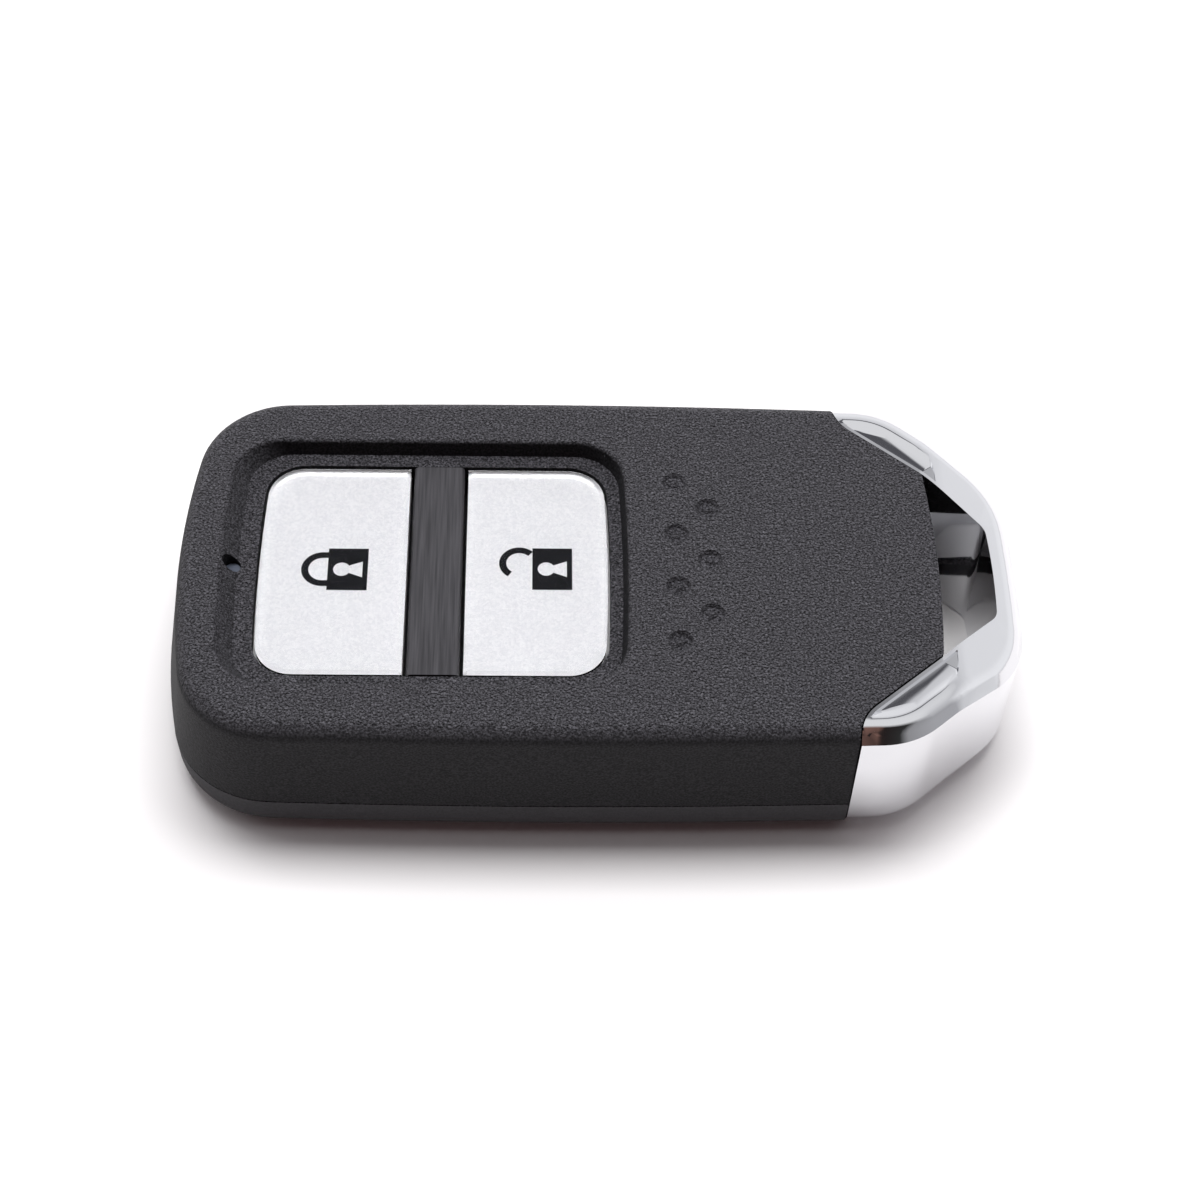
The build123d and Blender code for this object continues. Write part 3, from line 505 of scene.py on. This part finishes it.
def speckled(name, dark, pale, scale, roughness, metallic=0.0, bump_mm=0.01, stretch=(1, 1, 1)):
    """Material with a fine mottle in colour and height, which may be stretched one way."""
    material, tree, output = new_material(name)
    place = node(tree, "TexCoord")
    turned = node(tree, "Mapping", Vector=place.outputs["Object"], Scale=stretch)
    mottle = node(tree, "TexNoise", Vector=turned.outputs[0], Scale=scale, Detail=3.0)
    tone = colour_ramp(tree, mottle.outputs["Fac"], (0.3, dark), (0.7, pale))
    bump = node(tree, "Bump", Strength=0.5, Distance=bump_mm * MM, Height=mottle.outputs["Fac"])
    surface(
        tree, output, Base_Color=tone.outputs[0], Roughness=roughness,
        Normal=bump.outputs[0], Metallic=metallic,
    )
    return material


def finish_node(name, material):
    """Gives a CAD node that keeps its shape its finish."""
    for slot in nodes[name].material_slots:
        slot.material = material


ground_steel = speckled(
    "ground_steel", dark=(0.42, 0.42, 0.43), pale=(0.6, 0.6, 0.61),
    scale=1.0, roughness=0.28, metallic=1.0, stretch=(150, 4000, 900),
)
smooth_copy("key_blade", "spare_blade", "emergency_key", ground_steel)
pin_steel = speckled(
    "pin_steel", dark=(0.5, 0.5, 0.5), pale=(0.62, 0.62, 0.63),
    scale=6000, roughness=0.3, metallic=1.0,
)
finish_node("blade_pins", pin_steel)

acetal = speckled(
    "acetal_black", dark=(0.018, 0.018, 0.019), pale=(0.032, 0.032, 0.034),
    scale=2600, roughness=0.42, bump_mm=0.02,
)
smooth_copy("release_knob", "thumb_slide", "release", acetal)
spring_wire = speckled(
    "spring_wire", dark=(0.4, 0.4, 0.41), pale=(0.6, 0.59, 0.58),
    scale=5000, roughness=0.25, metallic=1.0, bump_mm=0.005,
)
coil = smooth_copy("release_spring", "coil_spring", "lower", spring_wire)
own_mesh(coil)

# Keypad
# One rubber boot over both switches, with a thick dome under each button. It
# keeps rain off the board and has the dull bloom of moulded silicone.
boot_rubber = speckled(
    "boot_rubber", dark=(0.02, 0.02, 0.021), pale=(0.04, 0.04, 0.042),
    scale=1500, roughness=0.72, bump_mm=0.03,
)
for name in ("keypad_mat", "lock_keypad_dome", "unlock_keypad_dome"):
    finish_node(name, boot_rubber)

# Indicator
# A small lamp on the board shines up a light pipe to the hole in the recess,
# where only the rounded tip of the pipe is seen.
pipe_clear, tree, output = new_material("milky_pipe")
place = node(tree, "TexCoord")
cloud = node(tree, "TexNoise", Vector=place.outputs["Object"], Scale=1800, Detail=2.0)
tone = colour_ramp(tree, cloud.outputs["Fac"], (0, (0.1, 0.12, 0.16)), (1, (0.18, 0.2, 0.26)))
surface(tree, output, Base_Color=tone.outputs[0], Roughness=0.18, Transmission_Weight=0.35, IOR=1.49)
smooth_copy("indicator_lens", "light_tip", "upper", pipe_clear)
lamp_body = speckled(
    "lamp_body", dark=(0.75, 0.72, 0.6), pale=(0.85, 0.82, 0.7),
    scale=3000, roughness=0.4,
)
finish_node("indicator_lamp", lamp_body)

# Circuit board
# Glass fibre under green lacquer. The copper tracks show through the lacquer
# as paler lines, which run one way in one field and across it in the next.
field_scale = 190
track_scale = 420
bare_green = (0.007, 0.062, 0.026, 1)
track_green = (0.02, 0.13, 0.055, 1)

lacquer, tree, output = new_material("green_lacquer")
place = node(tree, "TexCoord")
field = node(
    tree, "TexVoronoi", {"feature": "F1", "distance": "CHEBYCHEV"},
    Vector=place.outputs["Object"], Scale=field_scale,
)
choice = node(tree, "SeparateColor", Color=field.outputs["Color"])
turned = math_node(tree, "GREATER_THAN", choice.outputs[0], 0.5)
run_x, run_y = [
    node(tree, "TexWave", {"bands_direction": axis}, Vector=place.outputs["Object"], Scale=track_scale)
    for axis in "XY"
]
bands = node(
    tree, "MixRGB", Fac=turned.outputs[0],
    Color1=run_x.outputs["Color"], Color2=run_y.outputs["Color"],
)
track = share_between(tree, bands.outputs[0], 0.6, 0.72)
ground = math_node(tree, "GREATER_THAN", choice.outputs[1], 0.35)
copper = math_node(tree, "MULTIPLY", track.outputs[0], ground.outputs[0])
tone = node(tree, "MixRGB", Fac=copper.outputs[0], Color1=bare_green, Color2=track_green)
weave = node(tree, "TexNoise", Vector=place.outputs["Object"], Scale=2500, Detail=2.0)
bump = node(tree, "Bump", Strength=0.5, Distance=0.03 * MM, Height=copper.outputs[0])
gloss = node(tree, "MapRange", Value=weave.outputs["Fac"], To_Min=0.22, To_Max=0.4)
surface(tree, output, Base_Color=tone.outputs[0], Roughness=gloss.outputs[0], Normal=bump.outputs[0])
finish_node("circuit_board", lacquer)

# Packages on the board
# Two epoxy chips, a crystal in its drawn can, the ferrite core of the receiver
# coil and a moulded inductor.
epoxy = speckled(
    "chip_epoxy", dark=(0.012, 0.012, 0.013), pale=(0.03, 0.03, 0.032),
    scale=4200, roughness=0.5,
)
for name in ("radio_chip", "control_chip"):
    finish_node(name, epoxy)
crystal_metal = speckled(
    "crystal_can_metal", dark=(0.55, 0.54, 0.52), pale=(0.7, 0.69, 0.67),
    scale=1.0, roughness=0.3, metallic=1.0, bump_mm=0.005, stretch=(300, 3000, 3000),
)
finish_node("crystal_can", crystal_metal)
ferrite = speckled(
    "ferrite", dark=(0.03, 0.03, 0.032), pale=(0.07, 0.07, 0.072),
    scale=3500, roughness=0.55, bump_mm=0.02,
)
finish_node("receiver_coil_core", ferrite)
inductor_shell = speckled(
    "inductor_shell", dark=(0.05, 0.05, 0.052), pale=(0.1, 0.1, 0.1),
    scale=3000, roughness=0.6, bump_mm=0.02,
)
finish_node("power_inductor", inductor_shell)

# Coil winding
# Enamelled copper wire wound on the ferrite. The turns show as fine ribs, with
# painted shade in the grooves between them.
enamel, tree, output = new_material("enamelled_copper")
place = node(tree, "TexCoord")
wire = node(
    tree, "TexWave", {"bands_direction": "Z", "wave_profile": "SIN"},
    Vector=place.outputs["Object"], Scale=1100, Distortion=0.4,
)
# The colour darkens in the grooves between turns as painted shade.
tone = colour_ramp(tree, wire.outputs["Fac"], (0, (0.16, 0.05, 0.02)), (1, (0.6, 0.24, 0.1)))
bump = node(tree, "Bump", Strength=0.8, Distance=0.04 * MM, Height=wire.outputs["Fac"])
surface(
    tree, output, Base_Color=tone.outputs[0], Roughness=0.28,
    Normal=bump.outputs[0], Metallic=0.8,
)
finish_node("receiver_coil_winding", enamel)

# Chip capacitors
# A row of brown ceramic blocks, each tinned over both ends. The ends are found
# from the length of a block and the step of the row.
chip_length = 1.6 * MM
chip_step = 2.3 * MM
bare_share = 0.32
ceramic_brown = (0.34, 0.22, 0.12, 1)
tin_grey = (0.7, 0.7, 0.69, 1)

ceramic, tree, output = new_material("tinned_ceramic")
row_start = min(vertex.co.y for vertex in nodes["chip_capacitors"].data.vertices)
place = node(tree, "TexCoord")
along = node(tree, "SeparateXYZ", Vector=place.outputs["Object"])
offset = math_node(tree, "SUBTRACT", along.outputs["Y"], row_start + chip_length / 2)
wrapped = math_node(tree, "PINGPONG", offset.outputs[0], chip_step / 2)
tinned = math_node(tree, "GREATER_THAN", wrapped.outputs[0], chip_length * bare_share)
tone = node(tree, "MixRGB", Fac=tinned.outputs[0], Color1=ceramic_brown, Color2=tin_grey)
rough = node(tree, "TexNoise", Vector=place.outputs["Object"], Scale=5000, Detail=2.0)
gloss = node(tree, "MapRange", Value=rough.outputs["Fac"], To_Min=0.3, To_Max=0.5)
surface(tree, output, Base_Color=tone.outputs[0], Roughness=gloss.outputs[0], Metallic=tinned.outputs[0])
finish_node("chip_capacitors", ceramic)

# Switches
# Two tact switches in black resin, each with a round plunger of pale nylon that
# its rubber dome presses.
switch_resin = speckled(
    "switch_resin", dark=(0.02, 0.02, 0.021), pale=(0.04, 0.04, 0.042),
    scale=3000, roughness=0.5,
)
plunger_nylon = speckled(
    "plunger_nylon", dark=(0.6, 0.58, 0.52), pale=(0.72, 0.7, 0.64),
    scale=3000, roughness=0.45,
)
for side in ("lock", "unlock"):
    finish_node(side + "_switch", switch_resin)
    finish_node(side + "_plunger", plunger_nylon)

# Battery
# Coin cell in its collar under the board, with a nickel-plated steel clip on
# its rim and a sprung contact on its face. The tray is dull grey plastic.
cell_steel = speckled(
    "cell_steel", dark=(0.5, 0.5, 0.49), pale=(0.62, 0.62, 0.6),
    scale=1.0, roughness=0.3, metallic=1.0, bump_mm=0.006, stretch=(220, 2600, 2600),
)
smooth_copy("coin_cell", "battery", "upper", cell_steel)
nickel = speckled(
    "nickel_plate", dark=(0.55, 0.53, 0.48), pale=(0.68, 0.66, 0.6),
    scale=2500, roughness=0.26, metallic=1.0, bump_mm=0.006,
)
for name in ("battery_positive_clip", "battery_negative_contact"):
    finish_node(name, nickel)
tray_grey = speckled(
    "tray_grey", dark=(0.06, 0.06, 0.062), pale=(0.1, 0.1, 0.102),
    scale=1800, roughness=0.62, bump_mm=0.02,
)
finish_node("board_tray", tray_grey)
